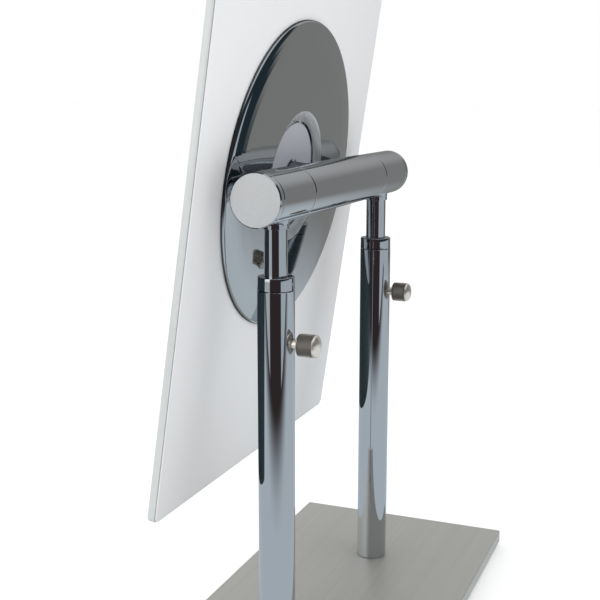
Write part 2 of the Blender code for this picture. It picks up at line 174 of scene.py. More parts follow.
def speckle():
    """The small even unevenness of cast, sprayed, moulded or blasted surfaces."""
    tree, given, result = new_group(
        "speckle",
        [("Vector", "Vector", (0, 0, 0)), ("Scale", "Float", 800.0), ("Depth", "Float", 0.06)],
        [("Height", "Float"), ("Shade", "Float")])
    grain = add_node(tree, "ShaderNodeTexNoise", {"Detail": 3.0, "Roughness": 0.6})
    chain(tree, given["Vector"], grain.inputs["Vector"], given["Scale"], grain.inputs["Scale"])
    dip = maths(tree, "MULTIPLY", maths(tree, "SUBTRACT", grain.outputs["Fac"], 0.5), given["Depth"])
    chain(tree, grain.outputs["Fac"], result["Height"], maths(tree, "ADD", 1.0, dip), result["Shade"])
    return tree


MARKS = handling_marks()
LINES = brush_lines()
SPECKLE = speckle()


def place_group(tree, group, **values):
    """A group node with its inputs' values, named with underscores for spaces."""
    made = add_node(tree, "ShaderNodeGroup", node_tree=group)
    for name, value in values.items():
        made.inputs[name.replace("_", " ")].default_value = value
    return made


def own_coordinates(tree, target, scale=(1, 1, 1)):
    """Gives a pattern the piece's own Object coordinates, stretched."""
    where = add_node(tree, "ShaderNodeTexCoord")
    stretch = add_node(tree, "ShaderNodeMapping", {"Scale": scale})
    chain(tree, where.outputs["Object"], stretch.inputs["Vector"], stretch.outputs["Vector"], target)


def shaded(tree, colour, shade, target):
    """A base colour lightened and darkened by a shade that changes over the surface."""
    mix = add_node(tree, "ShaderNodeMix", {"Factor": 1.0}, data_type="RGBA", blend_type="MULTIPLY")
    if isinstance(colour, tuple):
        mix.inputs[MIX_A].default_value = (*colour, 1)
    else:
        chain(tree, colour, mix.inputs[MIX_A])
    chain(tree, shade, mix.inputs[MIX_B], mix.outputs[MIX_RESULT], target)


def two_colours(tree, first, second, share):
    """A Mix node from one colour to another by a share that changes from place to place."""
    mix = add_node(tree, "ShaderNodeMix", data_type="RGBA")
    mix.inputs[MIX_A].default_value = (*first, 1)
    mix.inputs[MIX_B].default_value = (*second, 1)
    chain(tree, share, mix.inputs[0])
    return mix


def bumped(tree, height, shader, strength, distance):
    """Gives a shader the normal of a fine relief."""
    bump = add_node(tree, "ShaderNodeBump", {"Strength": strength, "Distance": distance})
    chain(tree, height, bump.inputs["Height"], bump.outputs["Normal"], shader.inputs["Normal"])


def new_material(name, **values):
    """A material with its Principled shader, whose plain values are set on its own sockets."""
    made = bpy.data.materials.new(name)
    made.use_nodes = True
    shader = made.node_tree.nodes["Principled BSDF"]
    for label, value in values.items():
        shader.inputs[label.replace("_", " ")].default_value = value
    return made, made.node_tree, shader


# Finishes --------------------------------------------------------------------------------------------


def plated(name, colour, clean, smeared, scale=28.0, ripple=0.02, metallic=1.0):
    """Bright plating over a polished tube: nearly flawless, with faint smears."""
    made, tree, shader = new_material(name, Metallic=metallic)
    marks = place_group(tree, MARKS, Scale=scale, Clean=clean, Smeared=smeared, Tint=0.05)
    own_coordinates(tree, marks.inputs["Vector"])
    shaded(tree, colour, marks.outputs["Shade"], shader.inputs["Base Color"])
    chain(tree, marks.outputs["Roughness"], shader.inputs["Roughness"])
    bumped(tree, marks.outputs["Ripple"], shader, ripple, 0.4 * MM)
    return made


def brushed(name, colour, metallic, smooth, rough, stretch, fineness, depth):
    """A satin metal whose belt lines run along the axis with the smallest stretch."""
    made, tree, shader = new_material(name, Metallic=metallic)
    lines = place_group(tree, LINES, Fineness=fineness, Smooth=smooth, Rough=rough)
    own_coordinates(tree, lines.inputs["Vector"], stretch)
    shaded(tree, colour, lines.outputs["Shade"], shader.inputs["Base Color"])
    chain(tree, lines.outputs["Roughness"], shader.inputs["Roughness"])
    bumped(tree, lines.outputs["Height"], shader, 0.25, depth)
    return made


def grained(name, colour, roughness, scale, depth, shade=0.08, **values):
    """A solid colour with a fine grain: moulded plastic, rubber, foam or plain turned steel."""
    made, tree, shader = new_material(name, Roughness=roughness, **values)
    grain = place_group(tree, SPECKLE, Scale=scale, Depth=shade)
    own_coordinates(tree, grain.inputs["Vector"])
    shaded(tree, colour, grain.outputs["Shade"], shader.inputs["Base Color"])
    bumped(tree, grain.outputs["Height"], shader, 0.3, depth)
    return made


def knurled_nickel():
    """Warm matt nickel, with painted shade that darkens it between the points of the knurl."""
    made, tree, shader = new_material("matt_nickel", Roughness=0.24, Metallic=0.85)
    grain = place_group(tree, SPECKLE, Scale=1500.0, Depth=0.2)
    own_coordinates(tree, grain.inputs["Vector"])
    relief = add_node(tree, "ShaderNodeAttribute", attribute_name="relief")
    # Painted shade: the colour falls to 3 per cent at the roots of the knurl.
    valley_shade = add_node(tree, "ShaderNodeMapRange", {"From Min": 0.15, "From Max": 0.7, "To Min": 0.03})
    chain(tree, relief.outputs["Fac"], valley_shade.inputs["Value"])
    shade = maths(tree, "MULTIPLY", valley_shade.outputs["Result"], grain.outputs["Shade"])
    shaded(tree, (0.95, 0.88, 0.80), shade, shader.inputs["Base Color"])
    bumped(tree, grain.outputs["Height"], shader, 0.2, 0.03 * MM)
    return made


def painted(name, pale, painted_reflection):
    """Pale sprayed paint, with a painted reflection: rays that bright metal mirrors see a dark colour in
    place of the pale one.
    """
    made, tree, shader = new_material(name, Roughness=0.42, Coat_Weight=0.15)
    grain = place_group(tree, SPECKLE, Scale=420.0, Depth=0.02)
    own_coordinates(tree, grain.inputs["Vector"])
    path = add_node(tree, "ShaderNodeLightPath")
    colour_with_painted_reflection = two_colours(tree, pale, painted_reflection, path.outputs["Is Glossy Ray"])
    shaded(tree, colour_with_painted_reflection.outputs[MIX_RESULT], grain.outputs["Shade"], shader.inputs["Base Color"])
    bumped(tree, grain.outputs["Height"], shader, 0.08, 0.1 * MM)
    return made


CHROME = plated("bright_chrome", (0.60, 0.62, 0.645), 0.015, 0.06)
DISC_CHROME = plated("pressed_chrome", (0.60, 0.62, 0.635), 0.03, 0.07, scale=14.0, ripple=0.03)
# The recess wall's chrome is brighter in colour than the disc's: painted light. It is also rougher and less
# metallic.
LIGHTENED_WALL_CHROME = plated("wall_chrome_painted_light", (0.86, 0.87, 0.88), 0.26, 0.32, scale=14.0, ripple=0.03,
                     metallic=0.75)
SATIN = brushed("satin_chrome", (0.90, 0.90, 0.89), 1.0, 0.36, 0.46, (60, 700, 700), 1.0, 0.02 * MM)
BRUSHED = brushed("brushed_steel", (0.55, 0.545, 0.515), 0.6, 0.42, 0.56, (6, 900, 40), 1.0, 0.03 * MM)
NICKEL = knurled_nickel()
STEEL = grained("zinc_steel", (0.48, 0.49, 0.50), 0.34, 1100.0, 0.04 * MM, Metallic=1.0)
NYLON = grained("white_nylon", (0.82, 0.81, 0.77), 0.48, 500.0, 0.05 * MM, Subsurface_Weight=0.05)
RUBBER = grained("black_rubber", (0.028, 0.028, 0.03), 0.8, 700.0, 0.15 * MM, shade=0.4)
FOAM = grained("foam_tape", (0.09, 0.09, 0.1), 0.9, 900.0, 0.2 * MM, shade=0.6)
# The second colour of each paint is a painted reflection, seen only in bright metal.
PAINT = painted("backing_paint", (0.77, 0.78, 0.795), (0.014, 0.034, 0.042))
# The recess floor is the backing's paint made darker and bluer: the recess's shade is painted into its
# colour.
SHADED_FLOOR_PAINT = painted("recess_paint_painted_shade", (0.46, 0.47, 0.53), (0.10, 0.11, 0.13))
SILVER = plated("silvering", (0.86, 0.885, 0.88), 0.008, 0.02, scale=9.0, ripple=0.0)
GLASS_EDGE = grained("polished_glass_edge", (0.58, 0.605, 0.60), 0.12, 260.0, 0.02 * MM, shade=0.12,
                     Coat_Weight=0.6, IOR=1.52)


# Mesh work -------------------------------------------------------------------------------------------


def arc(centre, size, start, end, count):
    """Points (across, along) on an arc, with its angles in degrees from the across direction."""
    points = []
    for step in range(count + 1):
        angle = math.radians(start + (end - start) * step / count)
        points.append((centre[0] + size * math.cos(angle), centre[1] + size * math.sin(angle)))
    return points


def eased(points, size, count=4):
    """A profile with each inner corner rounded to about the given size."""
    result = [points[0]]
    for before, corner, after in zip(points, points[1:], points[2:]):
        here = Vector(corner)
        back, ahead = Vector(before) - here, Vector(after) - here
        reach = min(size, back.length * 0.45, ahead.length * 0.45)
        start, end = here + back.normalized() * reach, here + ahead.normalized() * reach
        for step in range(count + 1):
            t = step / count
            point = start * (1 - t) ** 2 + here * 2 * t * (1 - t) + end * t * t
            result.append((point.x, point.y))
    return result + [points[-1]]


def supported(profile, closed):
    """The profile with a point beside each corner of its long lines, so that shading turns there only."""
    result = []
    ends = profile[1:] + profile[:1] if closed else profile[1:]
    for start, end in zip(profile, ends):
        result.append(start)
        line = Vector(end) - Vector(start)
        if line.length > SUPPORTED_FROM:
            step = line.normalized() * SUPPORT_REACH
            result += [tuple(Vector(start) + step), tuple(Vector(end) - step)]
    return result if closed else result + [profile[-1]]


def spun(profile, steps=ROUND_STEPS, closed=False, support=True):
    """A bmesh turned about Z from (radius, height) points. An open profile starts and ends on the axis."""
    if support:
        profile = supported(profile, closed)
    shape = bmesh.new()
    corners = [shape.verts.new((across, 0, along)) for across, along in profile]
    for first, second in zip(corners, corners[1:]):
        shape.edges.new((first, second))
    if closed:
        shape.edges.new((corners[-1], corners[0]))
    bmesh.ops.spin(shape, geom=shape.verts[:] + shape.edges[:], axis=(0, 0, 1), cent=(0, 0, 0),
                   angle=TURN, steps=steps, use_merge=True)
    bmesh.ops.remove_doubles(shape, verts=shape.verts, dist=0.0005 * MM)
    bmesh.ops.recalc_face_normals(shape, faces=shape.faces)
    return shape


def slab(size, corner, edge, segments):
    """A plate about the origin, thin in Y, with four rounded corners and eased rims."""
    shape = bmesh.new()
    bmesh.ops.create_cube(shape, size=1.0)
    bmesh.ops.scale(shape, vec=size, verts=shape.verts)
    options = {"affect": "EDGES", "profile": 0.5, "material": -1, "clamp_overlap": True}
    through = [line for line in shape.edges if abs((line.verts[0].co - line.verts[1].co).y) > 0]
    bmesh.ops.bevel(shape, geom=through, offset=corner, segments=8, **options)
    rim = [line for line in shape.edges if line.calc_face_angle(0) > math.radians(60)]
    bmesh.ops.bevel(shape, geom=rim, offset=edge, segments=segments, **options)
    return shape


def join_shapes(first, second):
    """Adds the second bmesh's faces to the first as a shell of their own."""
    carrier = bpy.data.meshes.new("carrier")
    second.to_mesh(carrier)
    second.free()
    first.from_mesh(carrier)
    bpy.data.meshes.remove(carrier)


def piece(name, shape, body, material, replaced, place, sharp=35):
    """Makes a bmesh an object at the origin, with its place in its mesh, on a body of the frame."""
    shape.transform(place)
    mesh = bpy.data.meshes.new(name)
    shape.to_mesh(mesh)
    shape.free()
    mesh.shade_smooth()
    mesh.set_sharp_from_angle(angle=math.radians(sharp))
    made = bpy.data.objects.new(name, mesh)
    bpy.context.scene.collection.objects.link(made)
    mesh.materials.append(material)
    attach(made, body)
    if replaced:
        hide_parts(*replaced)
    return made


def drill(made, tool, place):
    """Cuts a tool from a piece. The tool is used up."""
    tool.transform(place)
    mesh = bpy.data.meshes.new("tool")
    tool.to_mesh(mesh)
    tool.free()
    cutter = bpy.data.objects.new("tool", mesh)
    bpy.context.scene.collection.objects.link(cutter)
    change = made.modifiers.new("Drill", "BOOLEAN")
    change.solver = "EXACT"
    change.object = cutter
    bpy.context.view_layer.update()
    cut = bpy.data.meshes.new_from_object(made.evaluated_get(bpy.context.evaluated_depsgraph_get()))
    cut.name = made.name
    made.modifiers.clear()
    made.data = cut
    bpy.data.objects.remove(cutter, do_unlink=True)


def pin(size, start, end, steps):
    """A round tool for a hole, turned about Z between two heights."""
    return spun([(0, start), (size, start), (size, end), (0, end)], steps)


def stand_at(x, y=0.0, z=0.0):
    """Moves a piece made about the origin to its place."""
    return Matrix.Translation((x, y, z))


def outwards(side):
    """Turns a piece made along Z to point away from the middle of the crossbar."""
    return Matrix.Rotation(math.radians(side * 90), 4, "Y")


BAR = Matrix.Translation(CROSSBAR)
HEAD = BAR @ Matrix.Rotation(-TILT, 4, "X")
TO_X = outwards(1)
TO_Y = Matrix.Rotation(math.radians(-90), 4, "X")


# The stand -------------------------------------------------------------------------------------------


def outer_tube(name, side):
    """The fixed chrome tube, open for the rod and drilled for its thumbscrew."""
    low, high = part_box(f"outer_tube_{name}")
    screw_height = middle(f"thumbscrew_{name}").z
    bore = TUBE_RADIUS - 1.5 * MM
    ease = 0.15 * MM
    screw_hole = 2.9 * MM
    near_hole = 4 * MM
    profile = [(TUBE_RADIUS - ease, high.z), (TUBE_RADIUS, high.z - ease)]
    profile += [(TUBE_RADIUS, screw_height + near_hole), (TUBE_RADIUS, screw_height - near_hole)]
    profile += [(TUBE_RADIUS, low.z + ease), (TUBE_RADIUS - ease, low.z), (bore, low.z)]
    profile += [(bore, screw_height - near_hole), (bore, screw_height + near_hole), (bore, high.z)]
    tube = piece(f"chrome_tube_{name}", spun(profile, closed=True), "stand", CHROME,
                 [f"outer_tube_{name}"], stand_at(side * POST_X))
    drill(tube, pin(screw_hole, 2 * TUBE_RADIUS, 0, HOLE_STEPS),
          stand_at(side * POST_X, 0, screw_height) @ TO_Y)


def collar(name, side):
    """The ring on the tube's end that guides the rod. It flares a hair towards the tube."""
    low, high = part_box(f"collar_ring_{name}")
    bore = ROD_RADIUS + GAP
    spigot = TUBE_RADIUS - 1.8 * MM
    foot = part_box(f"outer_tube_{name}")[1].z + GAP
    hollow = 0.12 * MM
    waist = TUBE_RADIUS - hollow
    ease = 0.25 * MM
    shoulder = 0.5 * MM
    profile = [(bore, high.z - ease), (bore + ease, high.z), (waist - shoulder - 0.1 * MM, high.z)]
    profile += arc((waist - shoulder, high.z - shoulder), shoulder, 80, 0, 4)
    profile += [(waist, foot + 3.6 * MM), (waist + 0.015 * MM, foot + 2.8 * MM)]
    profile += [(waist + 0.05 * MM, foot + 1.6 * MM), (TUBE_RADIUS, foot + ease)]
    profile += [(TUBE_RADIUS - ease, foot), (spigot, foot), (spigot, low.z), (bore, low.z)]
    piece(f"post_collar_{name}", spun(profile, closed=True), "stand", CHROME,
          [f"collar_ring_{name}"], stand_at(side * POST_X))


KNURL_DEPTH = 0.45 * MM
KNURLS_AROUND = 24
KNURL_ROWS = 5
PLAIN_RELIEF = 0.7  # of the head beside its knurl, which gets no painted shade


def thumbscrew(name, side):
    """A knurled head with a domed, centre-drilled end on its shank."""
    low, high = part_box(f"thumbscrew_{name}")
    size = (high.x - low.x) / 2
    band = size - 0.25 * MM
    core = size - 0.8 * MM
    start = high.y - 11.4 * MM
    dome = high.y
    dome_height = 2.6 * MM
    edge = 0.5 * MM
    shank = 2.5 * MM
    tip_bore, tip_depth = 1.8 * MM, 1.3 * MM
    knurl_start, knurl_end = start + 0.7 * MM, dome - dome_height - 0.3 * MM
    outline = [(0, dome - 0.8 * MM), (0.35 * MM, dome - 0.6 * MM), (0.6 * MM, dome - 0.02 * MM)]
    for angle in (math.radians(80 - 10 * step) for step in range(9)):
        outline.append((band * math.cos(angle), dome - dome_height * (1 - math.sin(angle))))
    outline += [(band, knurl_end), (core, knurl_end), (core, knurl_start)]
    outline += [(band, knurl_start), (band, start + edge), (band - edge, start)]
    outline += [(shank + 0.6 * MM, start), (shank, start - 0.4 * MM), (shank, low.y)]
    outline += [(tip_bore, low.y), (tip_bore, low.y + tip_depth), (0, low.y + tip_depth)]
    shape = spun(outline, SCREW_STEPS)
    join_shapes(shape, knurled_band(size, core - 0.2 * MM, knurl_start, knurl_end))
    height = middle(f"thumbscrew_{name}").z
    screw = piece(f"knurled_screw_{name}", shape, f"screw_{name}", NICKEL,
                  [f"thumbscrew_{name}"], stand_at(side * POST_X, 0, height) @ TO_Y, sharp=30)
    # The relief from root to point, which the nickel turns into painted shade.
    relief = screw.data.attributes.new("relief", "FLOAT", "POINT")
    for corner in screw.data.vertices:
        out = math.hypot(corner.co.x - side * POST_X, corner.co.z - height)
        on_knurl = knurl_start - TOUCH < corner.co.y < knurl_end + TOUCH
        raised = (out - size + KNURL_DEPTH) / KNURL_DEPTH
        relief.data[corner.index].value = min(max(raised, 0), 1) if on_knurl else PLAIN_RELIEF


def move_out(corner, distance):
    """Moves a mesh corner to a distance from the Z axis, at its own height."""
    flat = Vector((corner.co.x, corner.co.y, 0)).normalized() * distance
    corner.co = Vector((flat.x, flat.y, corner.co.z))


def knurled_band(outer, inner, start, end):
    """A closed ring whose outside is a field of small diamonds, each raised to a point."""
    root = outer - KNURL_DEPTH
    shape = bmesh.new()
    bmesh.ops.create_cone(shape, cap_ends=False, segments=KNURLS_AROUND, radius1=root, radius2=root,
                          depth=end - start)
    bmesh.ops.translate(shape, verts=shape.verts, vec=(0, 0, (start + end) / 2))
    for row in range(1, KNURL_ROWS):
        height = start + (end - start) * row / KNURL_ROWS
        bmesh.ops.bisect_plane(shape, geom=shape.verts[:] + shape.edges[:] + shape.faces[:],
                               dist=0.0001 * MM, plane_co=(0, 0, height), plane_no=(0, 0, 1))
    grid = shape.edges[:]
    bmesh.ops.poke(shape, faces=shape.faces)
    inside = [line for line in grid if line.is_valid and not line.is_boundary]
    bmesh.ops.dissolve_edges(shape, edges=inside, use_verts=False, use_face_split=False)
    diamonds = [face for face in shape.faces if len(face.verts) == 4]
    for tip in bmesh.ops.poke(shape, faces=diamonds)["verts"]:
        move_out(tip, outer)
    rims = [line for line in shape.edges if line.is_boundary]
    grown = bmesh.ops.extrude_edge_only(shape, edges=rims)["geom"]
    for corner in (item for item in grown if isinstance(item, bmesh.types.BMVert)):
        move_out(corner, inner)
    bmesh.ops.bridge_loops(shape, edges=[line for line in shape.edges if line.is_boundary])
    bmesh.ops.recalc_face_normals(shape, faces=shape.faces)
    return shape


# The lift --------------------------------------------------------------------------------------------


def inner_rod(name, side):
    """The rod that slides in the tube, bored at its foot for the screw of its guide."""
    low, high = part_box(f"inner_rod_{name}")
    bore, bore_end = 2.3 * MM, low.z + 12 * MM
    edge = 0.4 * MM
    profile = [(0, high.z), (ROD_RADIUS - edge, high.z), (ROD_RADIUS, high.z - edge)]
    profile += [(ROD_RADIUS, low.z + edge), (ROD_RADIUS - edge, low.z), (bore, low.z)]
    profile += [(bore, bore_end), (0, bore_end)]
    piece(f"sliding_rod_{name}", spun(profile), "lift", CHROME, [f"inner_rod_{name}"],
          stand_at(side * POST_X))


def end_sleeve(name, side):
    """One end of the crossbar, with its bores, and the flared neck that takes the rod."""
    low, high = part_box(f"end_sleeve_{name}")
    start, end = sorted((abs(low.x), abs(high.x)))
    pocket, pocket_start = 10.3 * MM, 88.5 * MM
    axle_bore = 4.3 * MM
    ease = 0.3 * MM
    around_neck = 9 * MM
    socket, socket_top = ROD_RADIUS + GAP, CROSSBAR.z - 6.5 * MM
    below_bar = CROSSBAR.z - 20 * MM
    profile = [(axle_bore, start), (BAR_RADIUS - ease, start)]
    profile += arc((BAR_RADIUS - ease, start + ease), ease, -70, 0, 3)
    profile += [(BAR_RADIUS, POST_X - around_neck), (BAR_RADIUS, POST_X + around_neck)]
    profile += arc((BAR_RADIUS - ease, end - ease), ease, 0, 90, 3)
    profile += [(pocket, end), (pocket, pocket_start), (axle_bore, pocket_start)]
    sleeve = piece(f"crossbar_end_{name}", spun(profile, closed=True), "lift", CHROME,
                   [f"end_sleeve_{name}"], BAR @ outwards(side))
    drill(sleeve, pin(socket, socket_top, below_bar, SCREW_STEPS), stand_at(side * POST_X))
    piece(f"rod_neck_{name}", neck(socket), "lift", CHROME, [],
          BAR @ stand_at(side * POST_X))


def neck(bore):
    """The flared neck under the crossbar. Its upper rings follow the round of the bar."""
    foot, flare_start, seam_from, top_from = -16.0 * MM, -15.0 * MM, -12.3 * MM, -11.5 * MM
    level_seam = -12.9 * MM  # the height of the bar's underside for which the flare is drawn
    top = -11.0 * MM
    outline = [(bore, foot), (6.75 * MM, foot), (6.9 * MM, foot + 0.15 * MM)]
    outline += [(6.9 * MM, -14.4 * MM), (6.95 * MM, -13.4 * MM), (7.1 * MM, -12.7 * MM)]
    outline += [(7.4 * MM, -12.2 * MM), (7.4 * MM, top), (bore, top)]
    shape = spun(outline, RING_STEPS, closed=True, support=False)
    for corner in shape.verts:
        under = -math.sqrt(BAR_RADIUS ** 2 - corner.co.y ** 2)
        if corner.co.z > seam_from:
            corner.co.z = under + (0.15 * MM if corner.co.z > top_from else 0)
        elif corner.co.z > flare_start:
            share = (corner.co.z - flare_start) / (seam_from - flare_start)
            corner.co.z += share * (under - level_seam)
    return shape


def center_sleeve():
    """The middle of the crossbar, which turns with the mirror, with the hole for the stem."""
    half = radius("center_sleeve")
    bore = 10 * MM
    ease = 0.3 * MM
    around_stem = 11 * MM
    stem_hole, hole_start, hole_end = 5.3 * MM, -5 * MM, -20 * MM
    profile = [(bore, -half), (BAR_RADIUS - ease, -half)]
    profile += arc((BAR_RADIUS - ease, ease - half), ease, -70, 0, 3)
    profile += [(BAR_RADIUS, -around_stem), (BAR_RADIUS, around_stem)]
    profile += arc((BAR_RADIUS - ease, half - ease), ease, 0, 90, 3) + [(bore, half)]
    profile += [(bore, around_stem), (bore, -around_stem)]
    sleeve = piece("tilting_sleeve", spun(profile, closed=True), "mirror_head", CHROME,
                   ["center_sleeve"], BAR @ TO_X)
    drill(sleeve, pin(stem_hole, hole_start, hole_end, HOLE_STEPS), HEAD @ TO_Y)


def end_cap(name, side):
    """The satin cap with a polished broken edge, and the spigot that holds it in its sleeve."""
    outer = CAP_END
    inner = outer - 4 * MM
    spigot, spigot_end = 10 * MM, inner - 4 * MM
    chamfer, chamfer_depth = 0.6 * MM, 0.75 * MM
    ease = 0.35 * MM
    profile = [(0, outer), (BAR_RADIUS - chamfer, outer), (BAR_RADIUS, outer - chamfer_depth)]
    profile += [(BAR_RADIUS, inner + ease), (BAR_RADIUS - ease, inner), (spigot, inner)]
    profile += [(spigot, spigot_end), (0, spigot_end)]
    cap = piece(f"satin_cap_{name}", spun(profile), "lift", SATIN,
                [f"end_cap_{name}"], stand_at(0, CROSSBAR.y, CROSSBAR.z) @ outwards(side))
    cap.data.materials.append(CHROME)
    for face in cap.data.polygons:
        out = math.hypot(face.center.y - CROSSBAR.y, face.center.z - CROSSBAR.z)
        if out > BAR_RADIUS - 0.75 * chamfer:
            face.material_index = 1


# The mirror head -------------------------------------------------------------------------------------


DISC_BACK = -25.7 * MM  # heights from the pivot towards the mirror are below zero
DISC_FLOOR = -25.6 * MM
DISC_FACE = -22.0 * MM
DISC_RIM = 86.3 * MM
DISC_SHEET = 1.0 * MM
RIM_ROLL = 1.6 * MM
OPENING = 30.2 * MM  # radius of the recess at the foot of its wall
WALL = 6.8 * MM  # the wall's extent outwards
WALL_FOOT_SLOPE = 0.727
WALL_EASE = 0.201
WALL_STEPS = 14


def disc_profile():
    """The pressed disc's section as (radius, height), height towards the pivot: a flat floor, a wall
    that is steepest at its foot, a face that falls a little outwards and a rolled rim."""
    outside = [(0, DISC_FLOOR), (OPENING - 0.4 * MM, DISC_FLOOR)]
    for part in (step / WALL_STEPS for step in range(WALL_STEPS)):
        rise = WALL * (WALL_FOOT_SLOPE * part - WALL_EASE * part * part)
        outside.append((OPENING + WALL * part, DISC_FLOOR + rise))
    lip = OPENING + WALL
    top = (lip, DISC_FLOOR + WALL * (WALL_FOOT_SLOPE - WALL_EASE))
    outside += eased([top, (lip + 0.35 * MM, DISC_FACE), (lip + 1.6 * MM, DISC_FACE)], 1.2 * MM, 6)
    outside += [(60.3 * MM, DISC_FACE - 0.1 * MM), (70 * MM, DISC_FACE - 0.25 * MM)]
    outside += [(74 * MM, DISC_FACE - 0.42 * MM), (78 * MM, DISC_FACE - 0.70 * MM)]
    outside += [(81 * MM, DISC_FACE - 1.0 * MM), (DISC_RIM - 2 * RIM_ROLL, DISC_FACE - 1.3 * MM)]
    roll = DISC_FACE - 3.0 * MM
    outside += arc((DISC_RIM - RIM_ROLL, roll), RIM_ROLL, 72, 0, 8) + [(DISC_RIM, DISC_BACK)]
    under = DISC_FACE - DISC_SHEET
    inside = [(DISC_RIM - DISC_SHEET, DISC_BACK), (DISC_RIM - DISC_SHEET, roll)]
    inside += [(DISC_RIM - 3.6 * MM, under - 1.4 * MM), (74 * MM, under - 0.5 * MM)]
    inside += [(60.3 * MM, under - 0.2 * MM), (lip + 1 * MM, under), (OPENING + 2.2 * MM, DISC_BACK)]
    return outside + inside + [(0, DISC_BACK)]


def back_disc():
    """The disc that carries the mirror: bright, with a painted floor darkened by painted shade and a
    rougher wall lightened by painted light in its recess.
    """
    disc = piece("pressed_disc", spun(disc_profile(), FINE_STEPS), "mirror_head", DISC_CHROME,
                 ["back_disc"], HEAD @ TO_Y, sharp=28)
    for finish in (SHADED_FLOOR_PAINT, LIGHTENED_WALL_CHROME):
        disc.data.materials.append(finish)
    to_head = HEAD.inverted()
    floor_end, wall_start = OPENING - 0.3 * MM, OPENING + 1.2 * MM
    for face in disc.data.polygons:
        centre = to_head @ face.center
        out = math.hypot(centre.x, centre.z)
        # The floor takes the paint darkened by painted shade.
        if out < floor_end and centre.y > (DISC_FLOOR + DISC_BACK) / 2:
            face.material_index = 1
        # The wall takes the chrome lightened by painted light.
        elif wall_start < out < OPENING + WALL:
            face.material_index = 2


def stem():
    """The short stem between the crossbar's sleeve and the disc, hollow for its screw."""
    size, spigot, bore = 8.5 * MM, 5 * MM, 2.8 * MM
    foot, top, spigot_top = DISC_FLOOR, -13.0 * MM, -10.3 * MM
    outline = [(bore, foot), (size + 1.2 * MM, foot), (size + 1.1 * MM, foot + 0.5 * MM)]
    outline += [(size + 0.3 * MM, foot + 1.1 * MM), (size, foot + 2.2 * MM), (size, top)]
    outline += [(spigot, top), (spigot, spigot_top), (bore, spigot_top)]
    shape = spun(outline, RING_STEPS, closed=True, support=False)
    clear = BAR_RADIUS + GAP
    for corner in shape.verts:
        out = math.hypot(corner.co.x, corner.co.y)
        if abs(corner.co.z - top) < TOUCH and out > spigot - TOUCH:
            corner.co.z = -math.sqrt(clear ** 2 - corner.co.y ** 2)
    piece("disc_stem", shape, "mirror_head", CHROME, ["stem"],
          HEAD @ TO_Y @ Matrix.Rotation(math.radians(90), 4, "Z"))


def mirror_sheets():
    """The painted backing and the glass in front of it, silvered on the side that shows the face."""
    width, height, thick, corner = 235 * MM, 342 * MM, 4 * MM, 3.5 * MM
    margin, paint_thick = 0.5 * MM, 0.5 * MM
    paint_middle, glass_middle = -26.25 * MM, -28.8 * MM
    sheet = slab((width - 2 * margin, paint_thick, height - 2 * margin), corner, 0.12 * MM, 2)
    piece("painted_backing", sheet, "mirror_head", PAINT, ["mirror_backing"],
          HEAD @ stand_at(0, paint_middle))
    made = piece("silvered_glass", slab((width, thick, height), corner, 0.7 * MM, 3), "mirror_head",
                 GLASS_EDGE, ["mirror_glass"], HEAD @ stand_at(0, glass_middle))
    made.data.materials.append(SILVER)
    front = HEAD.to_3x3() @ Vector((0, -1, 0))
    flat_within = math.cos(math.radians(11.5))
    for face in made.data.polygons:
        if face.normal.dot(front) > flat_within:
            face.material_index = 1


# The CAD pieces that stay ------------------------------------------------------------------------------


def keep_cad_pieces():
    """Finishes for the base and for what is inside, which keep their CAD shapes."""
    finishes = {"base_plate": BRUSHED, "base_pad": RUBBER, "adhesive_ring": FOAM}
    nylon = ("guide_bush", "rod_guide", "sleeve_bush", "friction_washer", "clamp_tip")
    steel = ("clamp_ring", "tube_plug", "base_screw", "guide_screw", "spring_washer", "axle_nut",
             "rod_grub_screw", "axle", "stem_screw")
    for name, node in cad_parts.items():
        if name in finishes:
            material = finishes[name]
        elif name.startswith(nylon):
            material = NYLON
        elif name.startswith(steel):
            material = STEEL
        else:
            continue
        node.data.materials.clear()
        node.data.materials.append(material)


# Studio ----------------------------------------------------------------------------------------------


def studio_panel():
    """A soft-edged window of the surroundings: 1 where a direction lies in it and 0 outside."""
    tree, given, result = new_group(
        "studio_panel",
        [("Direction", "Vector", (0, 0, 0)), ("Facing", "Vector", (0, 0, 0)), ("Width", "Float", 0.9),
         ("Bottom", "Float", -1.0), ("Top", "Float", 1.0), ("Side Blur", "Float", 0.02),
         ("Blur", "Float", 0.03)],
        [("Mask", "Float")])
    flat = add_node(tree, "ShaderNodeVectorMath", {1: (1, 1, 0)}, operation="MULTIPLY")
    level = add_node(tree, "ShaderNodeVectorMath", operation="NORMALIZE")
    along = add_node(tree, "ShaderNodeVectorMath", operation="DOT_PRODUCT")
    split = add_node(tree, "ShaderNodeSeparateXYZ")
    chain(tree, given["Direction"], flat.inputs[0], flat.outputs[0], level.inputs[0],
          level.outputs[0], along.inputs[0], given["Facing"], along.inputs[1],
          given["Direction"], split.inputs[0])

    def past(value, edge, blur, before="SUBTRACT", after="ADD"):
        """From 0 to 1 as the value passes the edge, which is softened on both sides."""
        ramp = smooth_range(tree)
        chain(tree, value, ramp.inputs["Value"], maths(tree, before, edge, blur), ramp.inputs["From Min"],
              maths(tree, after, edge, blur), ramp.inputs["From Max"])
        return ramp.outputs["Result"]

    height = split.outputs["Z"]
    between = maths(tree, "MULTIPLY", past(along.outputs["Value"], given["Width"], given["Side Blur"]),
                    past(height, given["Bottom"], given["Blur"]))
    under_top = past(height, given["Top"], given["Blur"], "ADD", "SUBTRACT")
    chain(tree, maths(tree, "MULTIPLY", between, under_top), result["Mask"])
    return tree


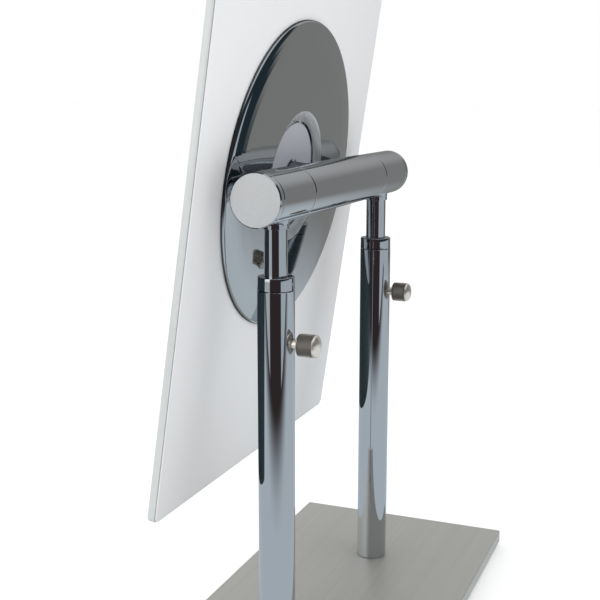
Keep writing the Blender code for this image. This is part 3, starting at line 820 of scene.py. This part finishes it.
# What bright metal mirrors: a dark room, and the panels laid over it one after the other. For each, the
# direction of its middle and its half width are in degrees round from +X, its bottom and top in degrees
# over the horizon, then come the softness of those two edges and its colour. A panel that reaches
# ALL_ROUND, down to NADIR or up to ZENITH has no edge there.
ALL_ROUND, NADIR, ZENITH = 181, -91, 91
OVER_ZENITH = 2.0  # above the height of any direction
STUDIO_DARK = (0.040, 0.029, 0.030)
STUDIO_PANELS = {
    "ceiling": (0, ALL_ROUND, 46, ZENITH, 0.08, (0.60, 0.61, 0.63)),
    "front": (266, 33, -4, ZENITH, 0.05, (0.80, 0.81, 0.83)),
    "side_dark": (100, 51, NADIR, 42, 0.05, (0.020, 0.034, 0.042)),
    "side_low": (95, 42, NADIR, -3, 0.015, (0.50, 0.545, 0.59)),
    "backdrop": (190.5, 41, NADIR, ZENITH, 0.03, (0.255, 0.255, 0.25)),
    "backdrop_top": (190.5, 41, 17, ZENITH, 0.12, (0.46, 0.465, 0.47)),
    "window_foot": (-38, 23, -22, 60, 0.03, (0.52, 0.55, 0.58)),
    "window": (-38, 23, -4, 60, 0.03, (1.20, 1.22, 1.25)),
}
TABLE_COLOUR = (0.56, 0.62, 0.665)
TABLE_TURN = 22  # degrees, with the table's length towards the viewer
WORLD_WHITE = (1.0, 1.0, 1.0)


def surroundings():
    """A pale world for the eye and for soft light, and a dim studio for what bright metal mirrors."""
    world = bpy.data.worlds.new("studio")
    bpy.context.scene.world = world
    world.use_nodes = True
    tree = world.node_tree
    panel = studio_panel()
    where = add_node(tree, "ShaderNodeTexCoord").outputs["Generated"]
    colour = None
    for facing, half_width, bottom, top, blur, tint in STUDIO_PANELS.values():
        across, along = math.cos(math.radians(facing)), math.sin(math.radians(facing))
        mask = place_group(tree, panel, Facing=(across, along, 0), Width=math.cos(math.radians(half_width)),
                           Bottom=math.sin(math.radians(bottom)), Blur=blur,
                           Top=OVER_ZENITH if top == ZENITH else math.sin(math.radians(top)))
        layer = two_colours(tree, STUDIO_DARK, tint, mask.outputs["Mask"])
        chain(tree, where, mask.inputs["Direction"])
        if colour is not None:
            chain(tree, colour, layer.inputs[MIX_A])
        colour = layer.outputs[MIX_RESULT]
    path = add_node(tree, "ShaderNodeLightPath")
    seen = two_colours(tree, WORLD_WHITE, STUDIO_DARK, path.outputs["Is Glossy Ray"])
    chain(tree, colour, seen.inputs[MIX_B],
          seen.outputs[MIX_RESULT], tree.nodes["Background"].inputs["Color"])


def flat_sheet(name, corners, height, material):
    """A level sheet from x0, y0 to x1, y1 that belongs to the studio."""
    shape = bmesh.new()
    bmesh.ops.create_grid(shape, x_segments=1, y_segments=1, size=0.5)
    (x0, y0), (x1, y1) = corners
    bmesh.ops.scale(shape, vec=(x1 - x0, y1 - y0, 1), verts=shape.verts)
    bmesh.ops.translate(shape, vec=((x0 + x1) / 2, (y0 + y1) / 2, height), verts=shape.verts)
    mesh = bpy.data.meshes.new(name)
    shape.to_mesh(mesh)
    shape.free()
    made = bpy.data.objects.new(name, mesh)
    bpy.context.scene.collection.objects.link(made)
    mesh.materials.append(material)
    return made


def add_floor():
    """The pale floor, and the table top that the chrome mirrors in its place, which ends short of the
    viewer as a real table does."""
    made, tree, shader = new_material("pale_floor", Roughness=0.9, Emission_Color=(1, 1, 1, 1),
                                      Emission_Strength=0.1)
    grain = place_group(tree, SPECKLE, Scale=3.0, Depth=0.012)
    own_coordinates(tree, grain.inputs["Vector"])
    shaded(tree, (0.93, 0.93, 0.93), grain.outputs["Shade"], shader.inputs["Base Color"])
    floor = flat_sheet("floor", ((-30, -30), (30, 30)), 0.0, made)
    floor.visible_glossy = False

    glow = bpy.data.materials.new("table_top")
    glow.use_nodes = True
    tree = glow.node_tree
    tree.nodes.remove(tree.nodes["Principled BSDF"])
    light = add_node(tree, "ShaderNodeEmission")
    where = add_node(tree, "ShaderNodeTexCoord")
    turned = add_node(tree, "ShaderNodeMapping", {"Rotation": (0, 0, -math.radians(TABLE_TURN))})
    split = add_node(tree, "ShaderNodeSeparateXYZ")
    far_fade, near_fade = smooth_range(tree, -0.95, -0.35), smooth_range(tree, 0.27, 0.60)
    tone = two_colours(tree, STUDIO_PANELS["backdrop"][-1], TABLE_COLOUR, far_fade.outputs["Result"])
    faded = two_colours(tree, TABLE_COLOUR, STUDIO_DARK, near_fade.outputs["Result"])
    chain(tree, where.outputs["Object"], turned.inputs["Vector"], turned.outputs["Vector"],
          split.inputs[0], split.outputs["X"], far_fade.inputs["Value"],
          split.outputs["X"], near_fade.inputs["Value"], tone.outputs[MIX_RESULT], faded.inputs[MIX_A],
          faded.outputs[MIX_RESULT], light.inputs["Color"],
          light.outputs[0], tree.nodes["Material Output"].inputs["Surface"])
    shape = flat_sheet("table_top", ((-1.2, -1.2), (0.6, 1.2)), 0.4 * MM, glow)
    shape.data.transform(Matrix.Rotation(math.radians(TABLE_TURN), 4, "Z"))
    for ray in ("camera", "diffuse", "shadow", "transmission", "volume_scatter"):
        setattr(shape, "visible_" + ray, False)


def area_light(name, place, size, power, tint=(1, 1, 1)):
    """A square soft light aimed at the crossbar. Bright metal doesn't mirror it."""
    data = bpy.data.lights.new(name, "AREA")
    data.size = size
    data.energy = power
    data.color = tint
    made = bpy.data.objects.new(name, data)
    made.location = place
    made.rotation_euler = (CROSSBAR - Vector(place)).to_track_quat("-Z", "Y").to_euler()
    made.visible_glossy = False
    bpy.context.scene.collection.objects.link(made)


def add_lights():
    """A large soft light high behind the mirror, and a weak small one on its silvered side."""
    area_light("key_light", (0.1, 2.4, 2.4), 2.0, 14.0)
    area_light("fill_light", (1.2, -0.6, 1.0), 1.0, 3.0, (1.0, 0.99, 0.97))


def add_camera():
    """The eye stands behind the mirror, past its right-hand post and a little over the crossbar."""
    away = Vector((564.0, 208.6, 49.3)) * MM
    turn, drop = math.radians(22.01), math.radians(10.88)
    data = bpy.data.cameras.new("camera")
    data.lens = 64.29
    data.sensor_width = 36.0
    camera = bpy.data.objects.new("camera", data)
    camera.location = CROSSBAR + away
    camera.rotation_euler = (math.radians(90) - drop, 0, math.radians(90) + turn)
    bpy.context.scene.collection.objects.link(camera)
    bpy.context.scene.camera = camera
    bpy.context.scene.view_settings.view_transform = "Standard"


for side_name, side_sign in SIDES.items():
    outer_tube(side_name, side_sign)
    collar(side_name, side_sign)
    thumbscrew(side_name, side_sign)
    inner_rod(side_name, side_sign)
    end_sleeve(side_name, side_sign)
    end_cap(side_name, side_sign)
center_sleeve()
back_disc()
stem()
mirror_sheets()
keep_cad_pieces()
surroundings()
add_floor()
add_lights()
add_camera()
